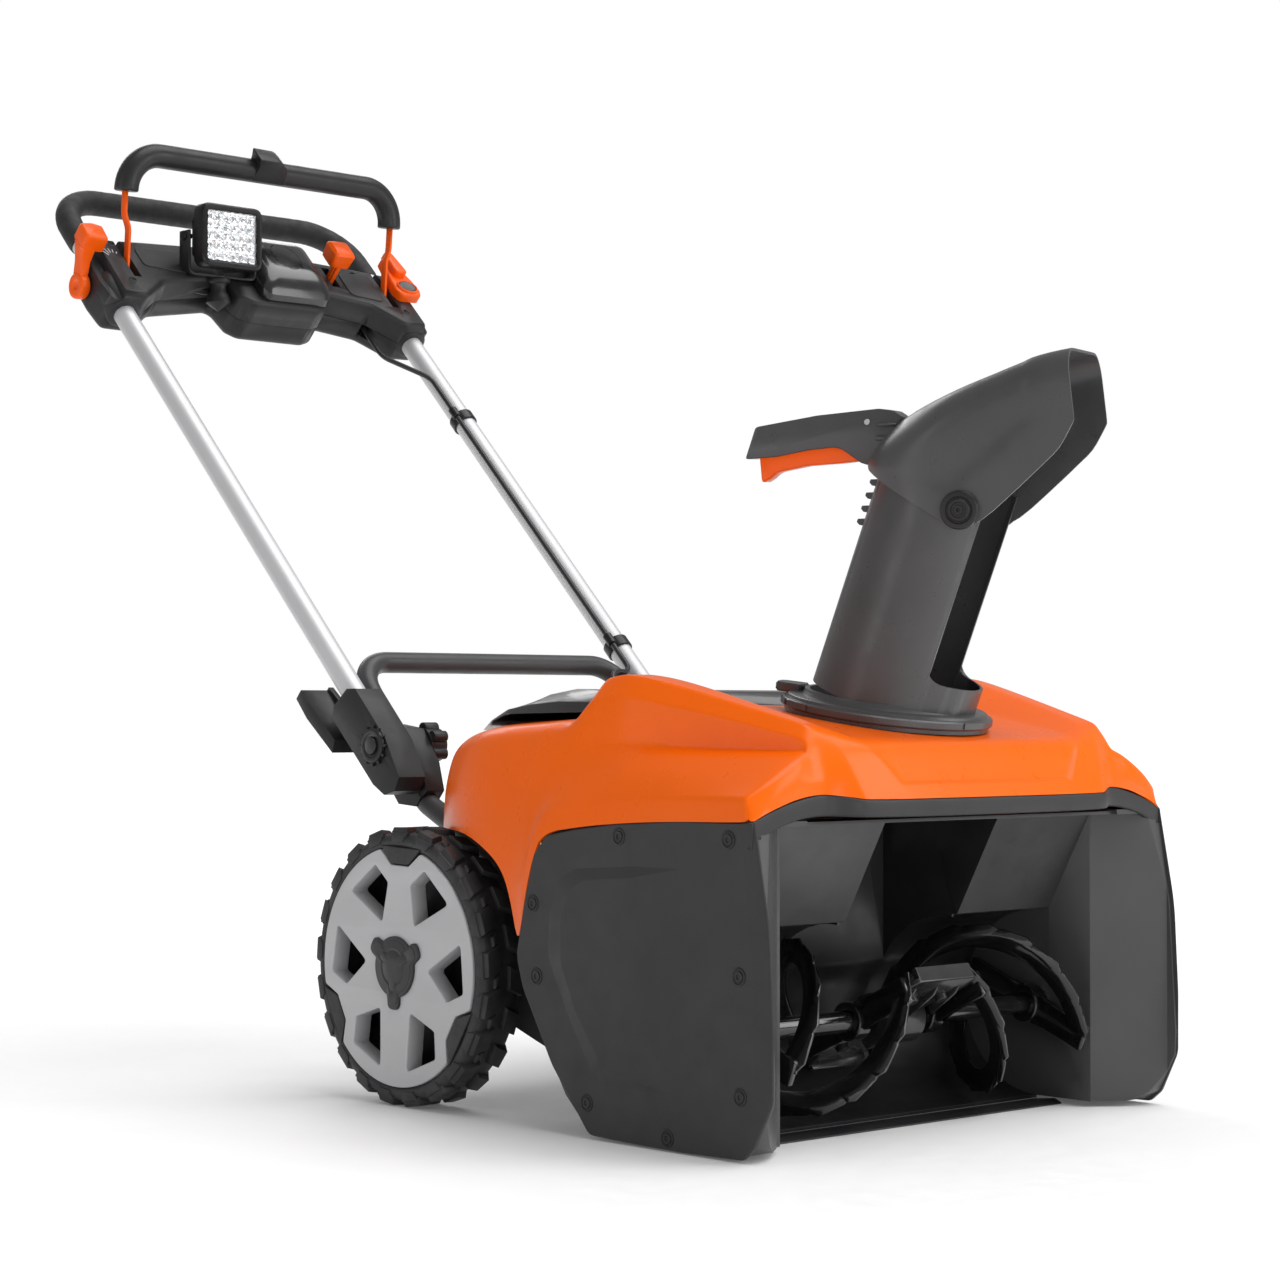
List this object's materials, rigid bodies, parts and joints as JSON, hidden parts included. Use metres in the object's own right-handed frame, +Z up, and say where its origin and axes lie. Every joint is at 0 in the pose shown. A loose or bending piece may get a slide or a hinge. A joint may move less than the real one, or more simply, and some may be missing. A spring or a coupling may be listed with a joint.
{
  "type": "snowblower",
  "caption": "Walk-behind battery snowblower with an open paddle auger, swivelling chute with tilting deflector, two wheels and a folding tube handle with control console.",
  "frame": {"origin": "centre of the footprint on the ground plane", "axes": "+Z up, the intake faces -Y, the handle rises toward +Y, +X is the machine's left"},
  "size_m": [0.5652, 1.3644, 1.0493],
  "materials": {
    "orange_plastic": "moulded, smooth gloss",
    "orange_paint": "powder coat, gloss",
    "dark_plastic": "moulded, fine satin texture",
    "bracket_plastic": "moulded, satin",
    "dash_plastic": "smooth, semi gloss",
    "chute_plastic": "moulded, satin",
    "lid_plastic": "moulded, semi gloss",
    "liner_plastic": "moulded, black satin",
    "grey_plastic": "moulded, satin",
    "tyre_rubber": "moulded rubber",
    "auger_rubber": "glossy, wet look",
    "aluminium_tube": "brushed and anodised",
    "foam": "closed cell foam",
    "frame_paint": "powder coat, satin",
    "steel": "zinc plated",
    "pulley_plastic": "moulded nylon",
    "belt_rubber": "ribbed belt",
    "motor_paint": "satin",
    "inner_plastic": "moulded",
    "board": "printed circuit board",
    "lamp_plastic": "smooth",
    "lamp_glass": "ribbed clear lens",
    "cable_rubber": "matt sheath"
  },
  "bodies": {
    "machine": {"rear_axle": "steel", "chassis": "frame_paint", "lower_frame": "frame_paint", "front_band": "dark_plastic", "auger_housing": "liner_plastic", "scraper_bar": "liner_plastic", "drive_belt": "belt_rubber", "motor": "motor_paint", "electronics_box": "inner_plastic", "hood": "orange_plastic", "battery_tray": "inner_plastic", "batteries": "inner_plastic", "ring_seat": "chute_plastic", "cable_lower": "cable_rubber", "right_side_plate": "dark_plastic", "left_side_plate": "dark_plastic", "axle_hardware": "steel", "plate_screws": "steel", "auger_bearings": "steel", "fold_brackets": "bracket_plastic", "fold_bolts": "steel"},
    "right_wheel": {"right_tyre": "tyre_rubber", "right_rim": "grey_plastic", "right_wheel_cap": "bracket_plastic"},
    "left_wheel": {"left_tyre": "tyre_rubber", "left_rim": "grey_plastic", "left_wheel_cap": "bracket_plastic"},
    "auger": {"auger_shaft": "frame_paint", "auger_flights": "auger_rubber", "auger_paddles": "auger_rubber", "paddle_bolts": "steel", "auger_pulley": "pulley_plastic"},
    "motor_rotor": {"motor_pulley": "steel"},
    "chute": {"chute_tube": "chute_plastic"},
    "deflector_body": {"deflector": "chute_plastic", "deflector_knobs": "bracket_plastic", "chute_handle": "chute_plastic", "trigger_pin": "steel"},
    "trigger": {"chute_trigger": "orange_plastic"},
    "handle": {"handle_tube": "aluminium_tube", "grip_sleeve": "foam", "console_lower": "dark_plastic", "console_upper": "dark_plastic", "dash_cover": "dash_plastic", "control_board": "board", "start_base": "orange_plastic", "light_bracket": "bracket_plastic", "cable_upper": "cable_rubber", "cable_clips": "dark_plastic", "fold_sockets": "dark_plastic"},
    "right_knob": {"right_fold_knob": "dark_plastic"},
    "left_knob": {"left_fold_knob": "dark_plastic"},
    "bail": {"bail_arms": "orange_paint", "bail_bar": "dark_plastic"},
    "speed": {"speed_lever": "orange_paint"},
    "mode": {"mode_paddle": "orange_plastic"},
    "starter": {"start_button": "grey_plastic"},
    "light": {"light_housing": "lamp_plastic", "light_lens": "lamp_glass"},
    "lid": {"battery_lid": "lid_plastic"}
  },
  "joints": [
    {"name": "right_wheel_spin", "type": "hinge", "parent": "machine", "child": "right_wheel", "pos_m": [-0.25, -0.07566, 0.134], "axis": [1, 0, 0], "continuous": true},
    {"name": "left_wheel_spin", "type": "hinge", "parent": "machine", "child": "left_wheel", "pos_m": [0.25, -0.07566, 0.134], "axis": [1, 0, 0], "continuous": true},
    {"name": "auger_spin", "type": "hinge", "parent": "machine", "child": "auger", "pos_m": [0, -0.46066, 0.096], "axis": [1, 0, 0], "continuous": true},
    {"name": "motor_spin", "type": "hinge", "parent": "machine", "child": "motor_rotor", "pos_m": [0.236, -0.30766, 0.19], "axis": [1, 0, 0], "continuous": true},
    {"name": "chute_swivel", "type": "hinge", "parent": "machine", "child": "chute", "pos_m": [0, -0.46066, 0.389], "axis": [0, -0.1564, 0.9877], "range_deg": [-128, 72]},
    {"name": "deflector_tilt", "type": "hinge", "parent": "chute", "child": "deflector_body", "pos_m": [0.03105, -0.54672, 0.56369], "axis": [0.8805, 0.4682, 0.0741], "range_deg": [0, 50]},
    {"name": "trigger_pull", "type": "hinge", "parent": "deflector_body", "child": "trigger", "pos_m": [-0.02204, -0.45995, 0.64628], "axis": [0.8805, 0.4682, 0.0741], "range_deg": [0, 7], "stiffness_Nm_per_rad": 0.5, "springref_deg": -11.46},
    {"name": "handle_fold", "type": "hinge", "parent": "machine", "child": "handle", "pos_m": [0, 0.02434, 0.345], "axis": [1, 0, 0], "range_deg": [0, 75], "deforming": ["cable_lower"]},
    {"name": "right_knob_turn", "type": "hinge", "parent": "machine", "child": "right_knob", "pos_m": [-0.156, 0.02434, 0.345], "axis": [1, 0, 0], "continuous": true},
    {"name": "left_knob_turn", "type": "hinge", "parent": "machine", "child": "left_knob", "pos_m": [0.156, 0.02434, 0.345], "axis": [1, 0, 0], "continuous": true},
    {"name": "bail_squeeze", "type": "hinge", "parent": "handle", "child": "bail", "pos_m": [0, 0.54438, 0.86999], "axis": [-1, 0, 0], "range_deg": [0, 39], "stiffness_Nm_per_rad": 1.5, "springref_deg": -20.05},
    {"name": "speed_set", "type": "hinge", "parent": "handle", "child": "speed", "pos_m": [-0.237, 0.55929, 0.86199], "axis": [1, 0, 0], "range_deg": [-15, 25]},
    {"name": "mode_tilt", "type": "hinge", "parent": "handle", "child": "mode", "pos_m": [0.11, 0.56504, 0.8923], "axis": [1, 0, 0], "range_deg": [-10, 10]},
    {"name": "start_press", "type": "slide", "parent": "handle", "child": "starter", "axis": [0, 0.7071, -0.7071], "range_m": [0, 0.002], "stiffness_N_per_m": 300, "springref_m": -0.001},
    {"name": "light_tilt", "type": "hinge", "parent": "handle", "child": "light", "pos_m": [-0.068, 0.53034, 0.93], "axis": [1, 0, 0], "range_deg": [-25, 10]},
    {"name": "lid_open", "type": "hinge", "parent": "machine", "child": "lid", "pos_m": [0, -0.30466, 0.3815], "axis": [1, 0, 0], "range_deg": [0, 75]}
  ],
  "couplings": [
    {"joint": "motor_spin", "follows": "auger_spin", "ratio": 3.4118}
  ]
}
